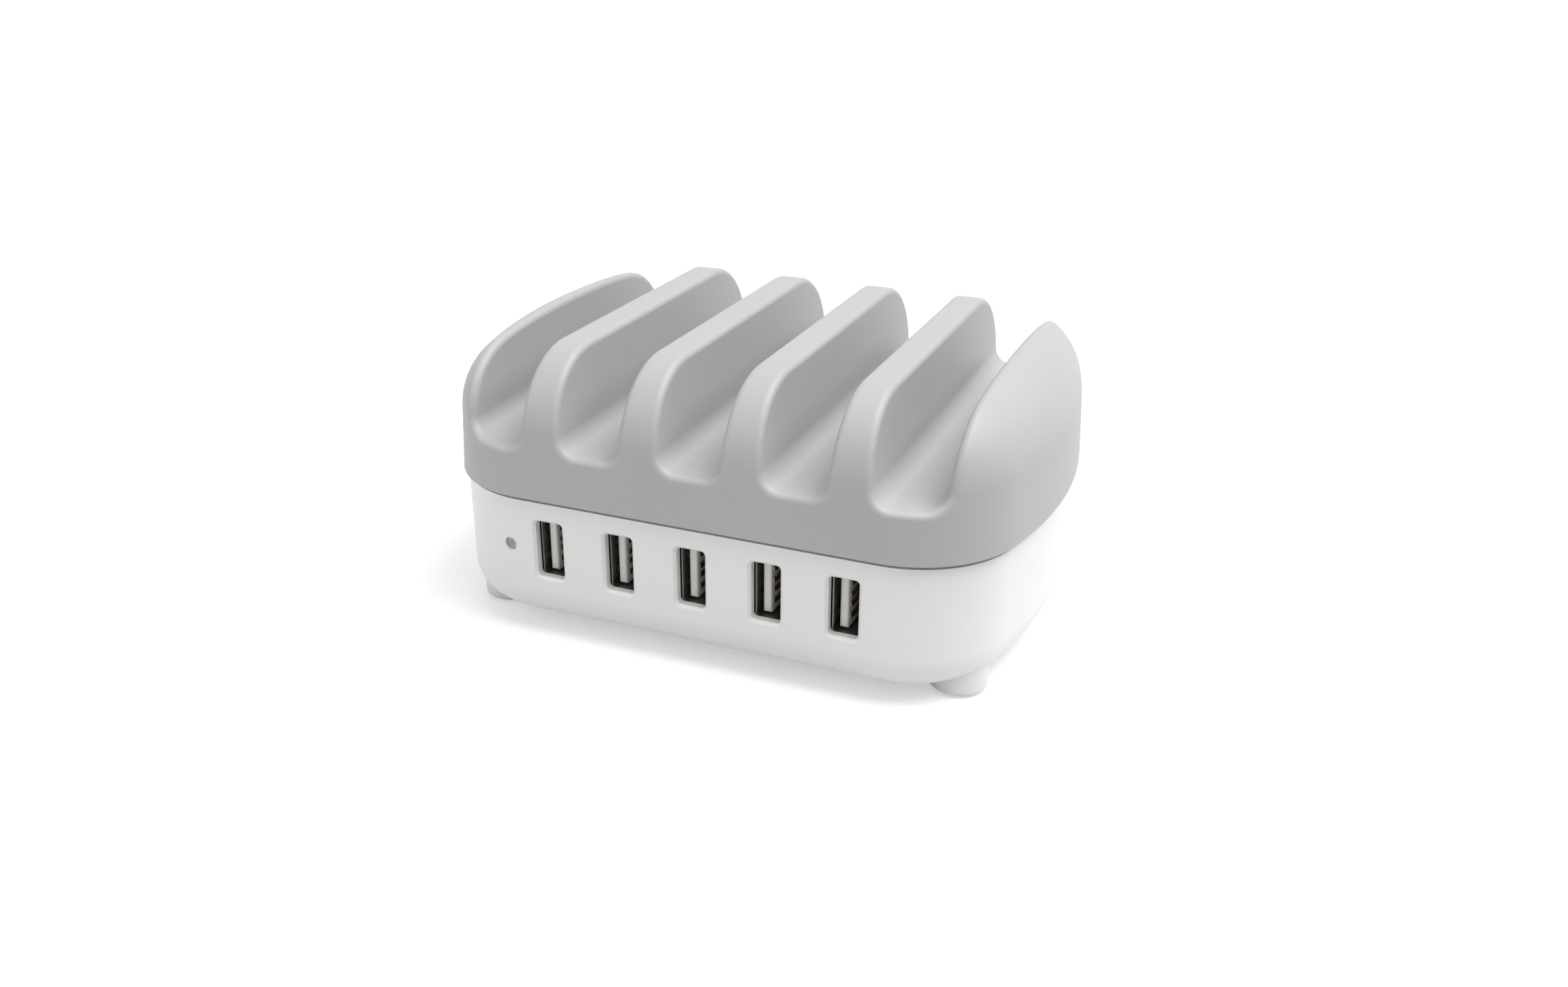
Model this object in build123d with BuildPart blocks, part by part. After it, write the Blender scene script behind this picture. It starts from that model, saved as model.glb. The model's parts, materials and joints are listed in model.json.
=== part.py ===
from build123d import *
import os
from math import radians, sqrt, tan

# A desktop charger: a white moulded base holds a mains supply and a row of upright USB sockets, and a
# gray moulded tray on top holds phones and tablets on edge in slots that run from front to back.
# X runs along the row of sockets, Y from front to back and Z up. The origin is on the desk, under the
# middle of the charger. Sizes are in millimetres, angles in degrees.

# Whole body
width = 130.0  # across the bulged sides
depth = 96.0
height = 61.5
side_bow = 10.0  # bulge of each side, measured from corner to corner
corner_radius = 23.0
seam_height = 31.8  # lower edge of the tray
seam_gap = 0.8  # shadow groove between the tray and the base

# Tray
tray_wall = 2.4
tray_draft = 3.0
shoulder_radius = 16.5  # rounding of the tray's whole upper edge
slot_count = 5
slot_spacing = 21.85
slot_depth = 19.2
slot_floor_width = 13.05
slot_draft = 2.7  # lean of each slot wall
slot_floor_radius = 4.0
slot_rim_radius = 1.3
tray_edge_radius = 0.4
lip_depth = 3.0  # tongue of the tray that plugs into the base
lip_thickness = 1.2
lip_root = 2.0
lip_clearance = 0.15

# Base
base_inset = 1.05  # step in from the tray to the base
base_wall = 2.1
base_underside = 3.4
base_bottom_radius = 7.5
rim_wall = 1.0  # base wall left beside the tray's tongue

# Feet, and the screws that pull the tray down on the base
foot_inset_x = 13.2  # from the side at its middle
foot_inset_y = 16.5  # from the front or the back
foot_diameter = 12.0
foot_end = 0.6  # the moulded foot stops this far above the desk
foot_edge_radius = 0.6
pad_diameter = 9.4
pad_thickness = 1.6
pad_edge_radius = 0.3
pad_clearance = 0.1
post_diameter = 9.6
post_top = 22.0
post_shelf = 3.0
tray_boss_diameter = 8.0
housing_screw_diameter = 3.0
housing_screw_length = 12.0
housing_head_diameter = 5.6
housing_head_height = 2.2
screw_clearance = 0.1

# USB sockets, which stand on edge in a row
port_count = 5
port_spacing = 16.1
port_height = 20.45
window_width = 6.25
window_height = 12.6
window_radius = 0.9
window_edge = 0.57  # bevel round each window
shell_width = 5.72
shell_height = 13.12
shell_wall = 0.3
shell_radius = 0.7
shell_length = 14.0
shell_gap = 0.1  # from the inside of the base's wall to the socket's mouth
spring_length = 6.0
spring_width = 1.7
spring_spacing = 6.2
spring_bulge = 0.45
spring_start = 1.6
spring_slit = 0.25
insulator_block = 4.5
insulator_clearance = 0.05
tongue_thickness = 1.84
tongue_height = 11.6
tongue_gap = 0.85  # from the shell's side to the back of the tongue
tongue_setback = 1.1  # from the socket's mouth to the tip of the tongue
tongue_edge_radius = 0.55
contact_inner = 1.0  # from the middle of the tongue to the two inner contacts
contact_outer = 3.5  # the same to the two outer contacts
contact_width = 1.0
contact_thickness = 0.2
contact_bulge = 0.3
contact_setback = 1.0

# Status light
light_gap = 9.25  # from the first socket to the light
light_hole_diameter = 2.9
light_pipe_diameter = 2.7
light_pipe_bend = 3.0
light_recess = 1.0
light_run = 7.5  # from the face back to the lamp
lamp_length = 3.0
lamp_width = 1.6
lamp_height = 1.1
lamp_gap = 0.1

# Mains inlet in the rear wall
inlet_width = 21.0
inlet_body_height = 12.4
inlet_length = 16.0
inlet_corner = 1.5
inlet_shoulder_width = 25.0
inlet_recess = 0.3
inlet_clearance = 0.15
pole_spacing = 8.6
pole_bore = 8.4
pole_waist = 5.6
pole_depth = 12.0
pin_diameter = 2.36
pin_length = 9.0

# Main board
board_thickness = 1.6
board_margin = 2.25  # between the board's edge and the base's inner wall
board_post_clearance = 0.4
board_boss_diameter = 6.0
board_screw_inset = 11.8  # from the feet in towards the middle
board_screw_front = 20.5  # from the board's front edge
board_screw_rear = 6.5  # from the board's rear edge
board_screw_diameter = 2.4
board_screw_length = 6.0
board_head_diameter = 4.6
board_head_height = 1.5

# Parts of the mains side
fuse_x = -17.0
fuse_diameter = 8.0
fuse_height = 8.0
fuse_setback = 5.5  # from the board's rear edge
suppressor_x = 24.0
suppressor_length = 13.0
suppressor_thickness = 6.0
suppressor_height = 12.0
suppressor_setback = 6.5  # from the board's rear edge
choke_x = -28.0
choke_setback = 21.6  # from the board's rear edge
choke_outer = 16.0
choke_inner = 9.0
choke_height = 6.0
choke_wire_thickness = 1.2
choke_wound_angle = 125.0
choke_clearance = 0.1
bridge_x = -28.0
bridge_setback = 35.1  # from the board's rear edge
bridge_length = 15.0
bridge_thickness = 4.0
bridge_height = 11.0
bridge_lead_height = 2.5
bridge_lead_spacing = 3.8
reservoir_count = 2
reservoir_x = 28.25  # middle of the row
reservoir_spacing = 14.5
reservoir_setback = 24.6  # from the board's rear edge
reservoir_diameter = 12.5
switch_x = -28.0
switch_setback = 46.6  # from the board's rear edge
controller_x = 8.0
controller_gap = 7.0  # from the transformer's bobbin
optocoupler_x = -8.0
optocoupler_gap = 7.0  # from the transformer's bobbin
optocoupler_width = 4.6
optocoupler_length = 6.4
optocoupler_height = 3.4
chip_length = 5.0
chip_width = 4.0
chip_height = 1.5
head_room = 5.0  # from the tallest parts up to the tray

# Transformer
transformer_y = 0.0
core_width = 26.0
core_depth = 8.0
core_side_leg = 5.0
core_middle_leg = 6.0
core_yoke = 4.5
core_lift = 1.0
bobbin_clearance = 0.1
bobbin_wall = 0.8
bobbin_reach = 10.0
bobbin_rail = 4.5
winding_inset = 0.6
winding_corner = 2.0

# Parts of the low-voltage side
rectifier_x = 28.0
rectifier_y = 1.0
output_capacitor_count = 3
output_capacitor_spacing = 12.0
output_capacitor_gap = 7.5  # from the sockets' backs to the middle of the capacitors
output_capacitor_diameter = 8.0
output_capacitor_height = 13.0
charge_chip_spacing = 50.0

# Heat sinks and the devices screwed to them
sink_width = 24.0
sink_thickness = 1.6
device_width = 10.0
device_tab_height = 15.5
device_tab_thickness = 1.3
device_body_height = 9.0
device_body_thickness = 4.4
device_lift = 3.0
device_lead_spacing = 2.54
lead_width = 0.8
lead_thickness = 0.5

# Capacitor cans
can_edge_radius = 0.8
can_groove_height = 2.0
can_groove_depth = 0.4
can_groove_width = 1.0

# Arcs of the body's sides: their radius, and how far their centres lie beyond the middle of the charger
side_bow_radius = ((depth / 2) ** 2 + side_bow**2) / (2 * side_bow)
side_centre = side_bow_radius - width / 2

# Levels and faces that several pieces share
base_top = seam_height - seam_gap
base_floor = base_underside + base_wall
lip_inset = base_inset + rim_wall + lip_clearance
slot_floor = height - slot_depth
board_top = port_height - shell_height / 2
board_bottom = board_top - board_thickness
shelf_bottom = post_top - post_shelf
tall_height = slot_floor - tray_wall - head_room - board_top
foot_x = width / 2 - foot_inset_x
foot_y = depth / 2 - foot_inset_y
rear_face = depth / 2 - base_inset
front_face = -rear_face
socket_front = front_face + base_wall + shell_gap
socket_back = socket_front + shell_length
wall_cut = base_inset + 2 * base_wall
port_xs = [(port - (port_count - 1) / 2) * port_spacing for port in range(port_count)]
light_x = port_xs[0] - light_gap
board_half_length = rear_face - base_wall - board_margin
board_screw_points = [
    (side * (foot_x - board_screw_inset), y)
    for side in (-1, 1)
    for y in (-board_half_length + board_screw_front, board_half_length - board_screw_rear)
]

os.makedirs("parts", exist_ok=True)


def keep(builder, name):
    """Names a finished piece and writes it."""
    builder.part.label = name
    export_step(builder.part, f"parts/{name}.step")


def corner_x(inset):
    """Where a bowed side would meet the front or the back, both moved inwards by a distance."""
    return sqrt((side_bow_radius - inset) ** 2 - (depth / 2 - inset) ** 2) - side_centre


def outline(inset):
    """Outline of the body in plan, moved inwards by a distance: flat front and back, bowed sides."""
    end_x = corner_x(inset)
    edge_x = width / 2 - inset
    edge_y = depth / 2 - inset
    with BuildSketch(mode=Mode.PRIVATE) as plan:
        with BuildLine():
            Line((-end_x, -edge_y), (end_x, -edge_y))
            ThreePointArc((end_x, -edge_y), (edge_x, 0), (end_x, edge_y))
            Line((end_x, edge_y), (-end_x, edge_y))
            ThreePointArc((-end_x, edge_y), (-edge_x, 0), (-end_x, -edge_y))
        make_face()
        fillet(plan.vertices(), corner_radius - inset)
    return plan.sketch


def front_y(x, inset):
    """The front of the outline moved inwards by a distance, at a place along the row."""
    past_flat = max(0, abs(x) - corner_x(corner_radius))
    return corner_radius - depth / 2 - sqrt((corner_radius - inset) ** 2 - past_flat**2)


def draw_slots(growth):
    """Draws the slots' sections in the current front-view sketch, grown all round by a thickness."""
    floor_level = slot_floor - growth
    section_height = 1.5 * slot_depth + growth
    top_width = slot_floor_width + 2 * growth + 2 * section_height * tan(radians(slot_draft))
    with Locations((0, floor_level)):
        with GridLocations(slot_spacing, slot_spacing, slot_count, 1):
            Trapezoid(
                top_width,
                section_height,
                90 - slot_draft,
                rotation=180,
                align=(Align.CENTER, Align.MAX),
            )


light_face = front_y(light_x, base_inset)

# Inside of the tray: the space under its top, between the walls of the slots
with BuildPart() as tray_core:
    with BuildSketch(Plane.XY.offset(seam_height)):
        add(outline(tray_wall))
    extrude(amount=height - tray_wall - seam_height, taper=tray_draft)
    fillet(tray_core.faces().sort_by(Axis.Z)[-1].edges(), shoulder_radius - tray_wall)
    with BuildSketch(Plane.XZ) as slot_walls:
        draw_slots(tray_wall)
        fillet(slot_walls.vertices().group_by(Axis.Y)[0], slot_floor_radius + tray_wall)
    extrude(amount=depth, both=True, mode=Mode.SUBTRACT)
    # Columns left standing up to the top, for the housing screws
    with BuildSketch(Plane.XY.offset(seam_height)):
        with GridLocations(2 * foot_x, 2 * foot_y, 2, 2):
            Circle(tray_boss_diameter / 2)
    extrude(amount=height - seam_height, mode=Mode.SUBTRACT)

# Tray: a drafted block with a broad round shoulder, cut by the slots, hollow underneath
with BuildPart() as top_tray:
    with BuildSketch(Plane.XY.offset(seam_height)):
        add(outline(0))
    extrude(amount=height - seam_height, taper=tray_draft)
    fillet(top_tray.faces().sort_by(Axis.Z)[-1].edges(), shoulder_radius)
    with BuildSketch(Plane.XZ) as slots:
        draw_slots(0)
        fillet(slots.vertices().group_by(Axis.Y)[0], slot_floor_radius)
    extrude(amount=depth, both=True, mode=Mode.SUBTRACT)
    slot_edges = top_tray.edges(Select.LAST)
    rims = slot_edges.filter_by(Axis.Y, reverse=True)
    rims += slot_edges.filter_by(Axis.Y).group_by(Axis.Z)[-1]
    fillet(rims, slot_rim_radius)
    fillet(top_tray.faces().sort_by(Axis.Z)[0].edges(), tray_edge_radius)
    add(tray_core.part, mode=Mode.SUBTRACT)
    # Tongue that plugs into the base
    with BuildSketch(Plane.XY.offset(seam_height - lip_depth)):
        add(outline(lip_inset))
        add(outline(lip_inset + lip_thickness), mode=Mode.SUBTRACT)
    extrude(amount=lip_depth + lip_root)
    # Lower ends of the columns, which take the housing screws
    with BuildSketch(Plane.XY.offset(post_top)):
        with GridLocations(2 * foot_x, 2 * foot_y, 2, 2):
            Circle(tray_boss_diameter / 2)
    extrude(amount=seam_height - post_top)
    with BuildSketch(Plane.XY.offset(post_top)):
        with GridLocations(2 * foot_x, 2 * foot_y, 2, 2):
            Circle(housing_screw_diameter / 2 + screw_clearance)
    extrude(amount=housing_screw_length, mode=Mode.SUBTRACT)
keep(top_tray, "top_tray")

# Inside of the base, with the step at its rim for the tray's tongue
with BuildPart() as base_hollow:
    with BuildSketch(Plane.XY.offset(base_top)):
        add(outline(base_inset + base_wall))
    extrude(amount=-(base_top - base_floor))
    fillet(base_hollow.faces().sort_by(Axis.Z)[0].edges(), base_bottom_radius - base_wall)
    with BuildSketch(Plane.XY.offset(base_top)):
        add(outline(base_inset + rim_wall))
    extrude(amount=-(lip_depth - seam_gap + lip_clearance))

# Base: a tub with a broad round lower edge, feet, port windows and posts
with BuildPart() as base_housing:
    with BuildSketch(Plane.XY.offset(base_top)):
        add(outline(base_inset))
    extrude(amount=-(base_top - base_underside))
    fillet(base_housing.faces().sort_by(Axis.Z)[0].edges(), base_bottom_radius)
    with BuildSketch(Plane.XY.offset(foot_end)):
        with GridLocations(2 * foot_x, 2 * foot_y, 2, 2):
            Circle(foot_diameter / 2)
    extrude(amount=base_underside + base_bottom_radius - foot_end)
    fillet(base_housing.faces().group_by(Axis.Z)[0].edges(), foot_edge_radius)
    add(base_hollow.part, mode=Mode.SUBTRACT)
    # Posts over the feet, and bosses under the board
    with BuildSketch(Plane.XY.offset(base_underside + base_wall / 2)):
        with GridLocations(2 * foot_x, 2 * foot_y, 2, 2):
            Circle(post_diameter / 2)
    extrude(amount=post_top - base_underside - base_wall / 2)
    with BuildSketch(Plane.XY.offset(base_underside + base_wall / 2)):
        with Locations(*board_screw_points):
            Circle(board_boss_diameter / 2)
    extrude(amount=board_bottom - base_underside - base_wall / 2)
    # Bores for the housing screws and recesses for the foot pads, from below
    with Locations(Plane(origin=(0, 0, foot_end), x_dir=(1, 0, 0), z_dir=(0, 0, -1))):
        with GridLocations(2 * foot_x, 2 * foot_y, 2, 2):
            CounterBoreHole(
                radius=housing_screw_diameter / 2 + screw_clearance,
                counter_bore_radius=housing_head_diameter / 2 + screw_clearance,
                counter_bore_depth=shelf_bottom - foot_end,
                depth=post_top - foot_end,
            )
            Hole(radius=pad_diameter / 2 + pad_clearance, depth=pad_thickness - foot_end)
    # Bores for the board screws, from above
    with Locations(Plane.XY.offset(board_bottom)):
        with Locations(*board_screw_points):
            Hole(radius=board_screw_diameter / 2 + screw_clearance, depth=board_screw_length)
    # Port windows in the front wall, with a bevel round each
    with BuildSketch(Plane.XZ.offset(depth / 2)):
        with Locations((0, port_height)):
            with GridLocations(port_spacing, window_height, port_count, 1):
                RectangleRounded(window_width, window_height, window_radius)
    extrude(amount=-wall_cut, mode=Mode.SUBTRACT)
    window_rims = base_housing.edges(Select.LAST).group_by(Axis.Y)[0]
    chamfer(window_rims, window_edge)
    # Hole for the status light
    with BuildSketch(Plane.XZ.offset(depth / 2)):
        with Locations((light_x, port_height)):
            Circle(light_hole_diameter / 2)
    extrude(amount=-(depth / 2 + light_face + 2 * base_wall), mode=Mode.SUBTRACT)
    # Opening for the mains inlet in the rear wall
    with BuildSketch(Plane.XZ.offset(-depth / 2)):
        with Locations((0, board_top + inlet_body_height / 2)):
            RectangleRounded(
                inlet_width + 2 * inlet_clearance,
                inlet_body_height + 2 * inlet_clearance,
                inlet_corner,
            )
    extrude(amount=wall_cut, mode=Mode.SUBTRACT)
keep(base_housing, "base_housing")

# Foot pads, pressed into the feet
for pad_y, row in ((-foot_y, "front"), (foot_y, "rear")):
    for pad_x, side in ((-foot_x, "left"), (foot_x, "right")):
        with BuildPart() as foot_pad:
            with BuildSketch():
                with Locations((pad_x, pad_y)):
                    Circle(pad_diameter / 2)
            extrude(amount=pad_thickness)
            fillet(foot_pad.faces().sort_by(Axis.Z)[0].edges(), pad_edge_radius)
        keep(foot_pad, f"foot_pad_{row}_{side}")

# Screws from the feet up into the tray
with BuildPart() as housing_screws:
    with BuildSketch(Plane.XY.offset(shelf_bottom - housing_head_height)):
        with GridLocations(2 * foot_x, 2 * foot_y, 2, 2):
            Circle(housing_head_diameter / 2)
    extrude(amount=housing_head_height)
    with BuildSketch(Plane.XY.offset(shelf_bottom)):
        with GridLocations(2 * foot_x, 2 * foot_y, 2, 2):
            Circle(housing_screw_diameter / 2)
    extrude(amount=housing_screw_length)
keep(housing_screws, "housing_screws")

# Main board, which fills the base and lets the posts through, and its screws
with BuildPart() as main_board:
    with BuildSketch(Plane.XY.offset(board_bottom)):
        add(outline(base_inset + base_wall + board_margin))
        with GridLocations(2 * foot_x, 2 * foot_y, 2, 2):
            Circle(post_diameter / 2 + board_post_clearance, mode=Mode.SUBTRACT)
        with Locations(*board_screw_points):
            Circle(board_screw_diameter / 2 + screw_clearance, mode=Mode.SUBTRACT)
    extrude(amount=board_thickness)
keep(main_board, "main_board")

with BuildPart() as board_screws:
    with BuildSketch(Plane.XY.offset(board_top)):
        with Locations(*board_screw_points):
            Circle(board_head_diameter / 2)
    extrude(amount=board_head_height)
    with BuildSketch(Plane.XY.offset(board_top)):
        with Locations(*board_screw_points):
            Circle(board_screw_diameter / 2)
    extrude(amount=-board_screw_length)
keep(board_screws, "board_screws")

# USB sockets: bent shell with spring leaves, insulator with its tongue, and contacts on the tongue
shell_inside_x = shell_width / 2 - shell_wall
shell_inside_z = shell_height / 2 - shell_wall
tongue_back = -shell_inside_x + tongue_gap
tongue_face = tongue_back + tongue_thickness
block_front = socket_back - insulator_block
for port, port_x in enumerate(port_xs, 1):
    mouth = Plane(origin=(port_x, socket_front, port_height), x_dir=(1, 0, 0), z_dir=(0, -1, 0))
    leaf_start = socket_front + spring_start
    leaf_end = leaf_start + spring_length
    leaf_middle = leaf_start + spring_length / 2
    leaf_x = shell_width / 2 - shell_wall / 2
    leaf_plane = Plane(origin=(port_x, leaf_middle, port_height), x_dir=(0, 1, 0), z_dir=(1, 0, 0))

    with BuildPart() as usb_shell:
        with BuildSketch(mouth):
            RectangleRounded(shell_width, shell_height, shell_radius)
            RectangleRounded(
                2 * shell_inside_x,
                2 * shell_inside_z,
                shell_radius - shell_wall,
                mode=Mode.SUBTRACT,
            )
        extrude(amount=-shell_length)
        with BuildSketch(leaf_plane):
            with GridLocations(spring_spacing, spring_spacing, 1, 2):
                Rectangle(spring_length, spring_width + 2 * spring_slit)
        extrude(amount=shell_width, both=True, mode=Mode.SUBTRACT)
        for leaf_z in (-spring_spacing / 2, spring_spacing / 2):
            with BuildSketch(Plane.XY.offset(port_height + leaf_z - spring_width / 2)):
                for side in (-1, 1):
                    with BuildLine():
                        ThreePointArc(
                            (port_x + side * leaf_x, leaf_start + spring_slit),
                            (port_x + side * (leaf_x - spring_bulge), leaf_middle),
                            (port_x + side * leaf_x, leaf_end + spring_slit),
                        )
                    trace(line_width=shell_wall)
            extrude(amount=spring_width)
    keep(usb_shell, f"usb_shell_{port}")

    with BuildPart() as usb_insulator:
        with BuildSketch(mouth.offset(-tongue_setback)):
            with Locations(((tongue_back + tongue_face) / 2, 0)):
                Rectangle(tongue_thickness, tongue_height)
        extrude(amount=-(shell_length - tongue_setback))
        fillet(usb_insulator.faces().sort_by(Axis.Y)[0].edges(), tongue_edge_radius)
        with BuildSketch(mouth.offset(insulator_block - shell_length)):
            RectangleRounded(
                2 * (shell_inside_x - insulator_clearance),
                2 * (shell_inside_z - insulator_clearance),
                shell_radius - shell_wall,
            )
        extrude(amount=-insulator_block)
    keep(usb_insulator, f"usb_insulator_{port}")

    contact_tip = socket_front + tongue_setback + contact_setback
    contact_x = port_x + tongue_face
    with BuildPart() as usb_contacts:
        for contact_z in (-contact_outer, -contact_inner, contact_inner, contact_outer):
            with BuildSketch(Plane.XY.offset(port_height + contact_z - contact_width / 2)):
                with BuildLine():
                    Polyline(
                        (contact_x + contact_thickness, contact_tip),
                        (contact_x, contact_tip),
                        (contact_x, block_front),
                        (contact_x + contact_thickness, block_front),
                    )
                    ThreePointArc(
                        (contact_x + contact_thickness, block_front),
                        (contact_x + contact_thickness + contact_bulge, (contact_tip + block_front) / 2),
                        (contact_x + contact_thickness, contact_tip),
                    )
                make_face()
            extrude(amount=contact_width)
    keep(usb_contacts, f"usb_contacts_{port}")

# Status light: a bent pipe carries the lamp's light to the front
lamp_y = light_face + light_run
lamp_top = board_top + lamp_height
with BuildPart() as light_pipe:
    with BuildLine():
        FilletPolyline(
            (light_x, light_face + light_recess, port_height),
            (light_x, lamp_y, port_height),
            (light_x, lamp_y, lamp_top + lamp_gap),
            radius=light_pipe_bend,
        )
    with BuildSketch(Plane(origin=(light_x, light_face + light_recess, port_height), z_dir=(0, 1, 0))):
        Circle(light_pipe_diameter / 2)
    sweep()
keep(light_pipe, "light_pipe")

with BuildPart() as status_lamp:
    with BuildSketch(Plane.XY.offset(board_top)):
        with Locations((light_x, lamp_y)):
            Rectangle(lamp_length, lamp_width)
    extrude(amount=lamp_height)
keep(status_lamp, "status_lamp")

# Mains inlet: body with a figure-eight recess, and two pins on the recess floor
inlet_front = (0, rear_face - inlet_recess, board_top + inlet_body_height / 2)
inlet_mouth = Plane(origin=inlet_front, x_dir=(-1, 0, 0), z_dir=(0, 1, 0))
inlet_shoulder = base_wall - inlet_recess + inlet_clearance
with BuildPart() as mains_inlet:
    with BuildSketch(inlet_mouth):
        RectangleRounded(inlet_width, inlet_body_height, inlet_corner)
    extrude(amount=-inlet_length)
    with BuildSketch(inlet_mouth.offset(-inlet_shoulder)):
        Rectangle(inlet_shoulder_width, inlet_body_height)
    extrude(amount=-(inlet_length - inlet_shoulder))
    with BuildSketch(inlet_mouth):
        with GridLocations(pole_spacing, pole_spacing, 2, 1):
            Circle(pole_bore / 2)
        Rectangle(pole_spacing, pole_waist)
    extrude(amount=-pole_depth, mode=Mode.SUBTRACT)
keep(mains_inlet, "mains_inlet")

with BuildPart() as inlet_pins:
    with BuildSketch(inlet_mouth.offset(-pole_depth)):
        with GridLocations(pole_spacing, pole_spacing, 2, 1):
            Circle(pin_diameter / 2)
    extrude(amount=pin_length)
    fillet(inlet_pins.faces().group_by(Axis.Y)[-1].edges(), pin_diameter / 4)
keep(inlet_pins, "inlet_pins")

# Fuse and suppression capacitor beside the inlet
with BuildPart() as fuse:
    with BuildSketch(Plane.XY.offset(board_top)):
        with Locations((fuse_x, board_half_length - fuse_setback)):
            Circle(fuse_diameter / 2)
    extrude(amount=fuse_height)
    fillet(fuse.faces().sort_by(Axis.Z)[-1].edges(), can_edge_radius)
keep(fuse, "fuse")

with BuildPart() as suppression_capacitor:
    with BuildSketch(Plane.XY.offset(board_top)):
        with Locations((suppressor_x, board_half_length - suppressor_setback)):
            Rectangle(suppressor_length, suppressor_thickness)
    extrude(amount=suppressor_height)
keep(suppression_capacitor, "suppression_capacitor")

# Common-mode choke: a ring core lying flat in two wound halves
choke_foot = (choke_x, board_half_length - choke_setback, board_top)
choke_axis = Axis(choke_foot, (0, 0, 1))
choke_middle_radius = (choke_outer + choke_inner) / 4
choke_band = (choke_outer - choke_inner) / 2
choke_core_middle = choke_wire_thickness + choke_clearance + choke_height / 2
with BuildPart() as choke_core:
    with BuildSketch(Plane(origin=choke_foot, x_dir=(1, 0, 0), z_dir=(0, -1, 0))):
        with Locations((choke_middle_radius, choke_core_middle)):
            Rectangle(choke_band, choke_height)
    revolve(axis=choke_axis)
keep(choke_core, "choke_core")

with BuildPart() as choke_windings:
    for side in (-1, 1):
        with BuildSketch(Plane(origin=choke_foot, x_dir=(side, 0, 0), z_dir=(0, -side, 0))):
            with Locations((choke_middle_radius, choke_core_middle)):
                Rectangle(
                    choke_band + 2 * (choke_clearance + choke_wire_thickness),
                    choke_height + 2 * (choke_clearance + choke_wire_thickness),
                )
                Rectangle(
                    choke_band + 2 * choke_clearance,
                    choke_height + 2 * choke_clearance,
                    mode=Mode.SUBTRACT,
                )
        revolve(axis=choke_axis, revolution_arc=choke_wound_angle)
keep(choke_windings, "choke_windings")

# Bridge rectifier on its four leads
bridge_y = board_half_length - bridge_setback
with BuildPart() as bridge_rectifier:
    with BuildSketch(Plane.XY.offset(board_top)):
        with Locations((bridge_x, bridge_y)):
            with GridLocations(bridge_lead_spacing, bridge_lead_spacing, 4, 1):
                Rectangle(lead_width, lead_thickness)
    extrude(amount=bridge_lead_height)
    with BuildSketch(Plane.XY.offset(board_top + bridge_lead_height)):
        with Locations((bridge_x, bridge_y)):
            Rectangle(bridge_length, bridge_thickness)
    extrude(amount=bridge_height)
keep(bridge_rectifier, "bridge_rectifier")

# Capacitor cans: reservoirs on the mains side, and output capacitors behind the sockets
reservoir_y = board_half_length - reservoir_setback
output_y = socket_back + output_capacitor_gap
cans = []
for number in range(reservoir_count):
    can_x = reservoir_x + (number - (reservoir_count - 1) / 2) * reservoir_spacing
    can_name = f"reservoir_capacitor_{number + 1}"
    cans.append((can_name, can_x, reservoir_y, reservoir_diameter, tall_height))
for number in range(output_capacitor_count):
    can_x = (number - (output_capacitor_count - 1) / 2) * output_capacitor_spacing
    can_name = f"output_capacitor_{number + 1}"
    cans.append((can_name, can_x, output_y, output_capacitor_diameter, output_capacitor_height))
for can_name, can_x, can_y, can_diameter, can_height in cans:
    with BuildPart() as capacitor_can:
        with BuildSketch(Plane.XY.offset(board_top)):
            with Locations((can_x, can_y)):
                Circle(can_diameter / 2)
        extrude(amount=can_height)
        fillet(capacitor_can.edges().filter_by(GeomType.CIRCLE), can_edge_radius)
        with BuildSketch(Plane.XY.offset(board_top + can_groove_height)):
            with Locations((can_x, can_y)):
                Circle(can_diameter / 2)
                Circle(can_diameter / 2 - can_groove_depth, mode=Mode.SUBTRACT)
        extrude(amount=can_groove_width, mode=Mode.SUBTRACT)
    keep(capacitor_can, can_name)

# Transformer: a three-legged core through a flanged bobbin, and the taped winding on the bobbin
core_bottom = board_top + core_lift
core_height = tall_height - core_lift
core_middle = core_bottom + core_height / 2
window_span = (core_width - 2 * core_side_leg - core_middle_leg) / 2
window_rise = core_height - 2 * core_yoke
bobbin_width = core_width - 2 * core_side_leg - 2 * bobbin_clearance
bobbin_height = window_rise - 2 * bobbin_clearance
tube_inside = (core_middle_leg + 2 * bobbin_clearance, core_depth + 2 * bobbin_clearance)
tube_outside = (tube_inside[0] + 2 * bobbin_wall, tube_inside[1] + 2 * bobbin_wall)
with BuildPart() as transformer_core:
    with BuildSketch(Plane.XZ.offset(-transformer_y)):
        with Locations((0, core_middle)):
            Rectangle(core_width, core_height)
            with GridLocations(core_middle_leg + window_span, core_height, 2, 1):
                Rectangle(window_span, window_rise, mode=Mode.SUBTRACT)
    extrude(amount=core_depth / 2, both=True)
keep(transformer_core, "transformer_core")

with BuildPart() as transformer_bobbin:
    for flange_z in (core_middle - bobbin_height / 2, core_middle + bobbin_height / 2 - bobbin_wall):
        with BuildSketch(Plane.XY.offset(flange_z)):
            with Locations((0, transformer_y)):
                Rectangle(bobbin_width, 2 * bobbin_reach)
        extrude(amount=bobbin_wall)
    with BuildSketch(Plane.XY.offset(core_middle - bobbin_height / 2)):
        with Locations((0, transformer_y)):
            Rectangle(*tube_outside)
    extrude(amount=bobbin_height)
    with BuildSketch(Plane.XY.offset(core_middle - bobbin_height / 2)):
        with Locations((0, transformer_y)):
            Rectangle(*tube_inside)
    extrude(amount=bobbin_height, mode=Mode.SUBTRACT)
    with BuildSketch(Plane.XY.offset(board_top)):
        with Locations((0, transformer_y)):
            with GridLocations(bobbin_width, 2 * bobbin_reach - bobbin_rail, 1, 2):
                Rectangle(bobbin_width, bobbin_rail)
    extrude(amount=core_middle - bobbin_height / 2 - board_top)
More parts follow.
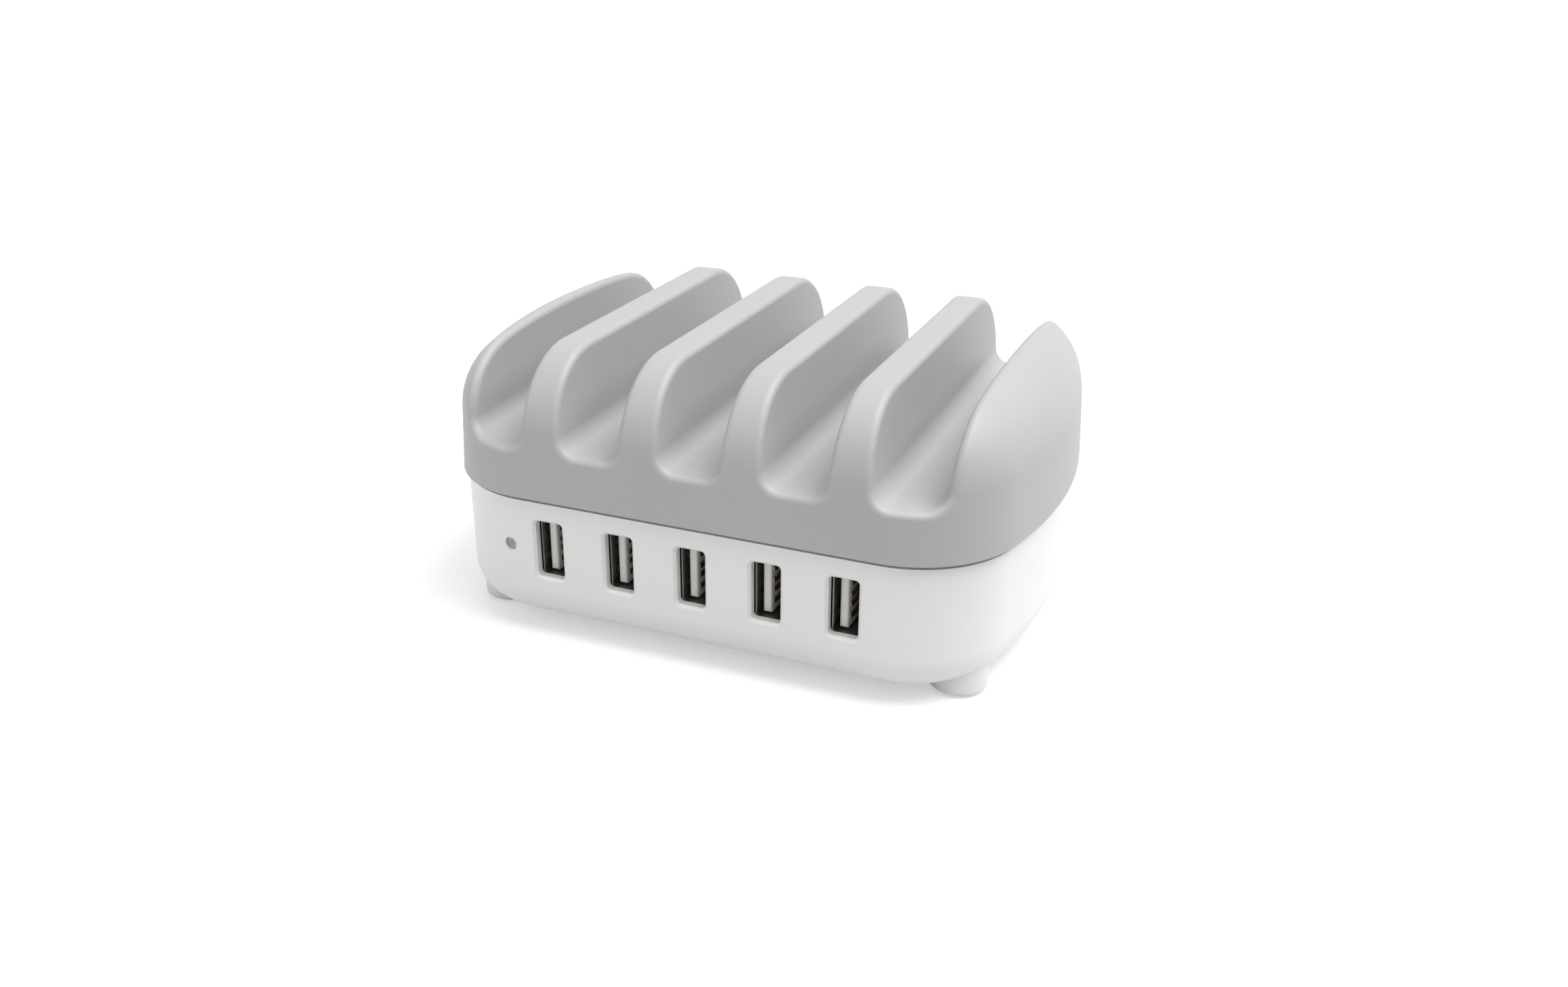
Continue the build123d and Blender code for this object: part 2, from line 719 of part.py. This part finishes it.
keep(transformer_bobbin, "transformer_bobbin")

with BuildPart() as transformer_winding:
    with BuildSketch(Plane.XY.offset(core_middle - bobbin_height / 2 + bobbin_wall)):
        with Locations((0, transformer_y)):
            RectangleRounded(
                bobbin_width - 2 * winding_inset, 2 * (bobbin_reach - winding_inset), winding_corner
            )
            Rectangle(*tube_outside, mode=Mode.SUBTRACT)
    extrude(amount=bobbin_height - 2 * bobbin_wall)
keep(transformer_winding, "transformer_winding")

# Heat sinks, each a standing plate, with a flat device against one side
switch_y = board_half_length - switch_setback
for sink_name, device_name, sink_x, sink_y, device_side in (
    ("switch_heat_sink", "power_switch", switch_x, switch_y, 1),
    ("rectifier_heat_sink", "output_rectifier", rectifier_x, rectifier_y, -1),
):
    with BuildPart() as heat_sink:
        with BuildSketch(Plane.XY.offset(board_top)):
            with Locations((sink_x, sink_y)):
                Rectangle(sink_width, sink_thickness)
        extrude(amount=tall_height)
    keep(heat_sink, sink_name)

    plate_face = sink_y + device_side * sink_thickness / 2
    tab_middle = plate_face + device_side * device_tab_thickness / 2
    body_middle = plate_face + device_side * device_body_thickness / 2
    with BuildPart() as device:
        with BuildSketch(Plane.XY.offset(board_top + device_lift)):
            with Locations((sink_x, tab_middle)):
                Rectangle(device_width, device_tab_thickness)
        extrude(amount=device_tab_height)
        with BuildSketch(Plane.XY.offset(board_top + device_lift)):
            with Locations((sink_x, body_middle)):
                Rectangle(device_width, device_body_thickness)
        extrude(amount=device_body_height)
        with BuildSketch(Plane.XY.offset(board_top)):
            with Locations((sink_x, body_middle)):
                with GridLocations(device_lead_spacing, device_lead_spacing, 3, 1):
                    Rectangle(lead_width, lead_thickness)
        extrude(amount=device_lift)
    keep(device, device_name)

# Small chips on the board
with BuildPart() as charge_chips:
    with BuildSketch(Plane.XY.offset(board_top)):
        with Locations((0, output_y)):
            with GridLocations(charge_chip_spacing, charge_chip_spacing, 2, 1):
                Rectangle(chip_length, chip_width)
    extrude(amount=chip_height)
keep(charge_chips, "charge_chips")

with BuildPart() as supply_controller:
    with BuildSketch(Plane.XY.offset(board_top)):
        with Locations((controller_x, transformer_y + bobbin_reach + controller_gap)):
            Rectangle(chip_length, chip_width)
    extrude(amount=chip_height)
keep(supply_controller, "supply_controller")

with BuildPart() as optocoupler:
    with BuildSketch(Plane.XY.offset(board_top)):
        with Locations((optocoupler_x, transformer_y + bobbin_reach + optocoupler_gap)):
            Rectangle(optocoupler_width, optocoupler_length)
    extrude(amount=optocoupler_height)
keep(optocoupler, "optocoupler")
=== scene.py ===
import json

import bpy
from mathutils import Matrix, Vector


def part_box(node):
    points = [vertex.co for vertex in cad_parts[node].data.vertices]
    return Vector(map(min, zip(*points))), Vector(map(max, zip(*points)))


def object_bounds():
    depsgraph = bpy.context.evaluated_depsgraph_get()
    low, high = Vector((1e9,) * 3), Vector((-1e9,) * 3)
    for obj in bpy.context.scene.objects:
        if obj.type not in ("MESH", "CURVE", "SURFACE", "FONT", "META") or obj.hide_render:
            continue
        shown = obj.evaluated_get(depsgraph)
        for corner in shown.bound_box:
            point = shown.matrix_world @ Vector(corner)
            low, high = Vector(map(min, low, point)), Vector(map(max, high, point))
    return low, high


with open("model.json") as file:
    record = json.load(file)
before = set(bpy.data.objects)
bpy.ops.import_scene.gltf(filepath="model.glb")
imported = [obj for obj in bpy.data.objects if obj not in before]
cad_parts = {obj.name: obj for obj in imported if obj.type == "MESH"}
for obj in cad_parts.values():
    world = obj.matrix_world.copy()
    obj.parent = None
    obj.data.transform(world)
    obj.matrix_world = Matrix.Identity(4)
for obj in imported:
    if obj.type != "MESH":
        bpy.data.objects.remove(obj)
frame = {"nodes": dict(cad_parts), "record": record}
cad_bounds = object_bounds()
nodes = frame["nodes"]
scene = bpy.context.scene
scene.view_settings.view_transform = "Standard"

# Camera of the photograph, in metres and in the part's own frame
IMAGE_WIDTH = 2408
FOCAL_PIXELS = 2133.0
SENSOR_WIDTH = 36.0  # mm
NEAR_CLIP = 0.005
CAMERA_AT = (0.1085, -0.2684, 0.14655)
CAMERA_RIGHT = Vector((0.9271, 0.3748, 0.0087))
CAMERA_FORWARD = Vector((-0.3403, 0.851, -0.4))

# Lamps, which face the charger's middle: places and sizes in metres, powers in watts
MIDDLE = (Vector(cad_bounds[0]) + Vector(cad_bounds[1])) / 2
KEY_AT = (0.62, 0.12, 1.0)
KEY_SIZE = 1.0
KEY_POWER = 12.8
TOP_AT = (0.24, -0.02, 1.12)
TOP_SIZE = 1.0
TOP_POWER = 9.0
FILL_AT = (-0.42, -0.5, 0.35)
FILL_SIZE = 0.6
FILL_POWER = 1.7

# Background: the floor glows less near the charger, so that the shadow stays
WHITE = (1.0, 1.0, 1.0, 1.0)
SKY_STRENGTHS = (0.2, 1.0)  # where it lights the charger, and where it is seen
FLOOR_HALF = 12.0
FLOOR_COLOUR = (0.62, 0.62, 0.62, 1.0)
FLOOR_ROUGHNESS = 0.9
FLOOR_SPECULAR = 0.1
FLOOR_GLOWS = (0.45, 1.0)
FLOOR_REACHES = (0.25, 0.8)  # from the middle of the charger out to where the glow rises and is full

# Ranges of values that a texture gives
WHOLE = (0.0, 1.0)
MOST_OF_NOISE = (0.3, 0.7)

# Moulded plastic: scales are cells per metre
CLOUD_SCALE = 28.0
CLOUD_DETAIL = 3.0
GRAIN_DETAIL = 3.0
GRAIN_ROUGHNESS = 0.6
GRAIN_STRENGTH = 0.12
GRAIN_GLOSS = (-0.04, 0.05)  # added to the roughness, low and high in the grain

# Drawn metal: the axis with the small factor is the one that the lines follow
LINE_SCALE = 900.0
LINE_SHADE = 0.86
LINE_STRENGTH = 0.08
LINE_DEPTH = 0.00002
LINE_GLOSS = (-0.07, 0.08)
ALONG_X = (0.12, 1.0, 1.0)
ALONG_Y = (1.0, 0.12, 1.0)
ALONG_Z = (1.0, 1.0, 0.15)

# Status light, with a shaded middle: its lens is round, at the upper front end of the light pipe
LENS_LOW, LENS_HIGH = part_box("light_pipe")
LENS_RADIUS = (LENS_HIGH.x - LENS_LOW.x) / 2
LENS_X = (LENS_LOW.x + LENS_HIGH.x) / 2
LENS_Z = LENS_HIGH.z - LENS_RADIUS
LENS_FACE = (1.0, 0.0, 1.0)  # flattens the coordinates along the lens's axis
LENS_MIDDLE = (0.30, 0.30, 0.30)
LENS_RIM = (0.62, 0.63, 0.64)
LENS_CHANGE = (0.45, 0.95)  # shares of the radius where the shade starts and ends
LENS_GRAIN = 2500.0
LENS_ROUGHNESS = (0.12, 0.24)
LENS_COAT = 0.6

# Circuit board
TRACK_SCALE = 260.0
TRACK_COLOUR = (0.035, 0.21, 0.075)
MASK_COLOUR = (0.018, 0.105, 0.035)
TRACK_EDGE = (0.06, 0.12)
TRACK_STRENGTH = 0.2
TRACK_DEPTH = 0.00003
MASK_GRAIN = 1800.0
MASK_ROUGHNESS = (0.28, 0.42)

# Windings, with painted shade darkening the grooves between the turns
TURN_DISTORTION = 0.6
# factor on the colour for the painted shade in the grooves between the turns
TURN_GROOVE_PAINTED_SHADE = 0.6
TURN_EDGE = (0.1, 0.7)
TURN_ROUGHNESS = (0.45, 0.3)  # between the turns, and on them
TURN_STRENGTH = 0.5
TURN_DEPTH = 0.0002
TURN_COAT = 0.3
WIRE_LAY = (1.0, 1.0, 0.2)
TAPE_LAY = (0.1, 0.1, 1.0)

MATERIALS = {}


def new_material(name):
    """The node tree and the shader of a new material, which is kept under its name."""
    made = bpy.data.materials.new(name)
    made.use_nodes = True
    tree = made.node_tree
    tree.nodes.clear()
    output = tree.nodes.new("ShaderNodeOutputMaterial")
    shader = tree.nodes.new("ShaderNodeBsdfPrincipled")
    tree.links.new(shader.outputs["BSDF"], output.inputs["Surface"])
    MATERIALS[name] = made
    return tree, shader


def coordinates(tree, stretch=(1.0, 1.0, 1.0), shift=(0.0, 0.0, 0.0)):
    """Object coordinates in metres, stretched along the axes and then shifted."""
    place = tree.nodes.new("ShaderNodeTexCoord")
    mapping = tree.nodes.new("ShaderNodeMapping")
    mapping.inputs["Scale"].default_value = stretch
    mapping.inputs["Location"].default_value = shift
    tree.links.new(place.outputs["Object"], mapping.inputs["Vector"])
    return mapping.outputs["Vector"]


def length(tree, vector):
    """Length of a vector."""
    node = tree.nodes.new("ShaderNodeVectorMath")
    node.operation = "LENGTH"
    tree.links.new(vector, node.inputs[0])
    return node.outputs["Value"]


def combine(tree, operation, first, second):
    """One value from two."""
    node = tree.nodes.new("ShaderNodeMath")
    node.operation = operation
    tree.links.new(first, node.inputs[0])
    tree.links.new(second, node.inputs[1])
    return node.outputs["Value"]


def noise(tree, vector, scale, detail=2.0, roughness=0.5):
    """Noise in the range 0 to 1."""
    node = tree.nodes.new("ShaderNodeTexNoise")
    node.inputs["Scale"].default_value = scale
    node.inputs["Detail"].default_value = detail
    node.inputs["Roughness"].default_value = roughness
    tree.links.new(vector, node.inputs["Vector"])
    return node.outputs["Fac"]


def spread(tree, value, target, source=MOST_OF_NOISE):
    """A value carried from the source range into the target range."""
    node = tree.nodes.new("ShaderNodeMapRange")
    node.inputs["From Min"].default_value = source[0]
    node.inputs["From Max"].default_value = source[1]
    node.inputs["To Min"].default_value = target[0]
    node.inputs["To Max"].default_value = target[1]
    tree.links.new(value, node.inputs["Value"])
    return node.outputs["Result"]


def two_tone(tree, value, first, last, source=MOST_OF_NOISE):
    """A colour that runs from first to last as a value crosses the source range."""
    ramp = tree.nodes.new("ShaderNodeValToRGB")
    for stop, position, colour in zip(ramp.color_ramp.elements, source, (first, last)):
        stop.position = position
        stop.color = (*colour, 1.0)
    tree.links.new(value, ramp.inputs["Fac"])
    return ramp.outputs["Color"]


def shade(colour, factor):
    """A colour made lighter or darker."""
    return tuple(min(1.0, part * factor) for part in colour)


def around(middle, offsets):
    """A range given by its offsets from a middle value."""
    return tuple(middle + offset for offset in offsets)


def paint(tree, shader, colour, roughness):
    """The colour and the roughness of a shader, from two nodes."""
    tree.links.new(colour, shader.inputs["Base Color"])
    tree.links.new(roughness, shader.inputs["Roughness"])


def bump(tree, shader, height, strength, depth):
    """Fine relief from a height value."""
    node = tree.nodes.new("ShaderNodeBump")
    node.inputs["Strength"].default_value = strength
    node.inputs["Distance"].default_value = depth
    tree.links.new(height, node.inputs["Height"])
    tree.links.new(node.outputs["Normal"], shader.inputs["Normal"])


def plastic(name, colour, roughness, grain, relief, variation=0.02, specular=0.5, coat=0.0):
    """Moulded plastic: a faint cloud in the colour, and a grain in the gloss and the relief."""
    tree, shader = new_material(name)
    vector = coordinates(tree)
    cloud = noise(tree, vector, CLOUD_SCALE, CLOUD_DETAIL)
    tones = two_tone(tree, cloud, shade(colour, 1 - variation), shade(colour, 1 + variation))
    fine = noise(tree, vector, grain, GRAIN_DETAIL, GRAIN_ROUGHNESS)
    paint(tree, shader, tones, spread(tree, fine, around(roughness, GRAIN_GLOSS)))
    shader.inputs["Specular IOR Level"].default_value = specular
    shader.inputs["Coat Weight"].default_value = coat
    bump(tree, shader, fine, GRAIN_STRENGTH, relief)


def metal(name, colour, roughness, stretch):
    """Drawn or rolled metal with fine lines along one axis."""
    tree, shader = new_material(name)
    lines = noise(tree, coordinates(tree, stretch), LINE_SCALE, GRAIN_DETAIL, GRAIN_ROUGHNESS)
    tones = two_tone(tree, lines, shade(colour, LINE_SHADE), colour)
    paint(tree, shader, tones, spread(tree, lines, around(roughness, LINE_GLOSS)))
    shader.inputs["Metallic"].default_value = 1.0
    bump(tree, shader, lines, LINE_STRENGTH, LINE_DEPTH)


def lens(name):
    """Milky light guide, darker at the middle of its face."""
    tree, shader = new_material(name)
    from_middle = coordinates(tree, LENS_FACE, (-LENS_X, 0.0, -LENS_Z))
    ring = spread(tree, length(tree, from_middle), WHOLE, (0.0, LENS_RADIUS))
    tones = two_tone(tree, ring, LENS_MIDDLE, LENS_RIM, LENS_CHANGE)
    fine = noise(tree, coordinates(tree), LENS_GRAIN)
    paint(tree, shader, tones, spread(tree, fine, LENS_ROUGHNESS))
    shader.inputs["Coat Weight"].default_value = LENS_COAT


def laminate(name):
    """Green solder mask with paler tracks under it."""
    tree, shader = new_material(name)
    vector = coordinates(tree)
    cells = tree.nodes.new("ShaderNodeTexVoronoi")
    cells.feature = "DISTANCE_TO_EDGE"
    cells.inputs["Scale"].default_value = TRACK_SCALE
    tree.links.new(vector, cells.inputs["Vector"])
    from_track = cells.outputs["Distance"]
    tones = two_tone(tree, from_track, TRACK_COLOUR, MASK_COLOUR, TRACK_EDGE)
    fine = noise(tree, vector, MASK_GRAIN)
    paint(tree, shader, tones, spread(tree, fine, MASK_ROUGHNESS))
    bump(tree, shader, from_track, TRACK_STRENGTH, TRACK_DEPTH)


def winding(name, colour, band_scale, lay):
    """Enamelled wire or tape laid in close turns, with shade painted into the grooves between them.
    """
    tree, shader = new_material(name)
    bands = tree.nodes.new("ShaderNodeTexWave")
    bands.wave_type = "BANDS"
    bands.bands_direction = "DIAGONAL"
    bands.inputs["Scale"].default_value = band_scale
    bands.inputs["Distortion"].default_value = TURN_DISTORTION
    tree.links.new(coordinates(tree, lay), bands.inputs["Vector"])
    turns = bands.outputs["Fac"]
    # painted shade: the colour darkens between the turns, where the grooves lie
    tones = two_tone(tree, turns, shade(colour, TURN_GROOVE_PAINTED_SHADE), colour, TURN_EDGE)
    paint(tree, shader, tones, spread(tree, turns, TURN_ROUGHNESS, WHOLE))
    shader.inputs["Coat Weight"].default_value = TURN_COAT
    bump(tree, shader, turns, TURN_STRENGTH, TURN_DEPTH)


def seen_rays(tree):
    """One for the rays that show a background: camera, glossy and transmission rays."""
    path = tree.nodes.new("ShaderNodeLightPath")
    direct = combine(tree, "MAXIMUM", path.outputs["Is Camera Ray"], path.outputs["Is Glossy Ray"])
    return combine(tree, "MAXIMUM", direct, path.outputs["Is Transmission Ray"])


def add_floor():
    """Pale floor that shows white further out and keeps the charger's shadow."""
    tree, shader = new_material("floor_white")
    shader.inputs["Base Color"].default_value = FLOOR_COLOUR
    shader.inputs["Roughness"].default_value = FLOOR_ROUGHNESS
    shader.inputs["Specular IOR Level"].default_value = FLOOR_SPECULAR
    shader.inputs["Emission Color"].default_value = WHITE
    reach = length(tree, coordinates(tree))
    glow = combine(tree, "MULTIPLY", seen_rays(tree), spread(tree, reach, FLOOR_GLOWS, FLOOR_REACHES))
    tree.links.new(glow, shader.inputs["Emission Strength"])
    corners = [(-1, -1), (1, -1), (1, 1), (-1, 1)]
    mesh = bpy.data.meshes.new("floor")
    mesh.from_pydata([(x * FLOOR_HALF, y * FLOOR_HALF, 0.0) for x, y in corners], [], [(0, 1, 2, 3)])
    mesh.materials.append(MATERIALS["floor_white"])
    floor = bpy.data.objects.new("floor", mesh)
    scene.collection.objects.link(floor)


def add_sky():
    """White sky where it is seen, softer where it lights the charger."""
    world = bpy.data.worlds.new("studio")
    scene.world = world
    world.use_nodes = True
    tree = world.node_tree
    background = tree.nodes["Background"]
    background.inputs["Color"].default_value = WHITE
    tree.links.new(spread(tree, seen_rays(tree), SKY_STRENGTHS, WHOLE), background.inputs["Strength"])


def add_lamp(name, place, size, power):
    """A square soft box that faces the middle of the charger."""
    data = bpy.data.lights.new(name, "AREA")
    data.shape = "SQUARE"
    data.size = size
    data.energy = power
    made = bpy.data.objects.new(name, data)
    made.location = place
    made.rotation_euler = (MIDDLE - Vector(place)).to_track_quat("-Z", "Y").to_euler()
    scene.collection.objects.link(made)


def add_camera():
    """The photograph's camera."""
    data = bpy.data.cameras.new("camera")
    data.sensor_fit = "HORIZONTAL"
    data.sensor_width = SENSOR_WIDTH
    data.lens = SENSOR_WIDTH * FOCAL_PIXELS / IMAGE_WIDTH
    data.clip_start = NEAR_CLIP
    back = -CAMERA_FORWARD.normalized()
    up = back.cross(CAMERA_RIGHT.normalized()).normalized()
    right = up.cross(back).normalized()
    turn = Matrix((right, up, back)).transposed().to_4x4()
    camera = bpy.data.objects.new("camera", data)
    camera.matrix_world = Matrix.Translation(CAMERA_AT) @ turn
    scene.collection.objects.link(camera)
    scene.camera = camera


# Materials of the outside
plastic(
    "tray_plastic", (0.40, 0.404, 0.41), roughness=0.48, grain=3200.0, relief=0.0001,
    variation=0.015, specular=0.42,
)
plastic(
    "base_plastic", (0.78, 0.78, 0.775), roughness=0.34, grain=2600.0, relief=0.00003,
    variation=0.008,
)
plastic(
    "foot_rubber", (0.62, 0.62, 0.61), roughness=0.75, grain=2200.0, relief=0.0001,
    variation=0.04, specular=0.3,
)
plastic(
    "inlet_plastic", (0.032, 0.032, 0.033), roughness=0.5, grain=2600.0, relief=0.00006,
    variation=0.12,
)
# socket tongues: off-white plastic, its colour lowered a little as painted shade for the shade inside
# the sockets
plastic(
    "socket_plastic", (0.74, 0.74, 0.72), roughness=0.5, grain=2600.0, relief=0.00004,
    variation=0.03,
)
metal("socket_steel", (0.27, 0.25, 0.225), roughness=0.36, stretch=ALONG_Y)
# contacts: a gold colour darkened towards brown, partly painted shade for the shade inside the
# sockets
metal("contact_metal", (0.38, 0.31, 0.19), roughness=0.38, stretch=ALONG_Y)
metal("screw_steel", (0.55, 0.55, 0.56), roughness=0.32, stretch=ALONG_Z)
lens("light_plastic")

# Materials of the inside
laminate("board_laminate")
plastic(
    "ferrite", (0.06, 0.06, 0.06), roughness=0.6, grain=1500.0, relief=0.0001,
    variation=0.2,
)
plastic(
    "can_sleeve", (0.045, 0.045, 0.055), roughness=0.26, grain=1800.0, relief=0.00003,
    variation=0.15, coat=0.3,
)
plastic(
    "film_case", (0.55, 0.42, 0.10), roughness=0.42, grain=1800.0, relief=0.00004,
    variation=0.06,
)
plastic(
    "chip_plastic", (0.032, 0.032, 0.034), roughness=0.55, grain=3000.0, relief=0.00006,
    variation=0.15,
)
winding("copper_wire", (0.60, 0.25, 0.10), band_scale=320.0, lay=WIRE_LAY)
winding("winding_tape", (0.80, 0.62, 0.12), band_scale=90.0, lay=TAPE_LAY)
metal("heat_sink_metal", (0.70, 0.70, 0.71), roughness=0.36, stretch=ALONG_X)

for part in frame["record"]["subparts"]:
    piece = nodes[part["node"]]
    piece.data.materials.clear()
    piece.data.materials.append(MATERIALS[part["material_slot"]])

add_floor()
add_sky()
add_lamp("key", KEY_AT, KEY_SIZE, KEY_POWER)
add_lamp("top", TOP_AT, TOP_SIZE, TOP_POWER)
add_lamp("fill", FILL_AT, FILL_SIZE, FILL_POWER)
add_camera()
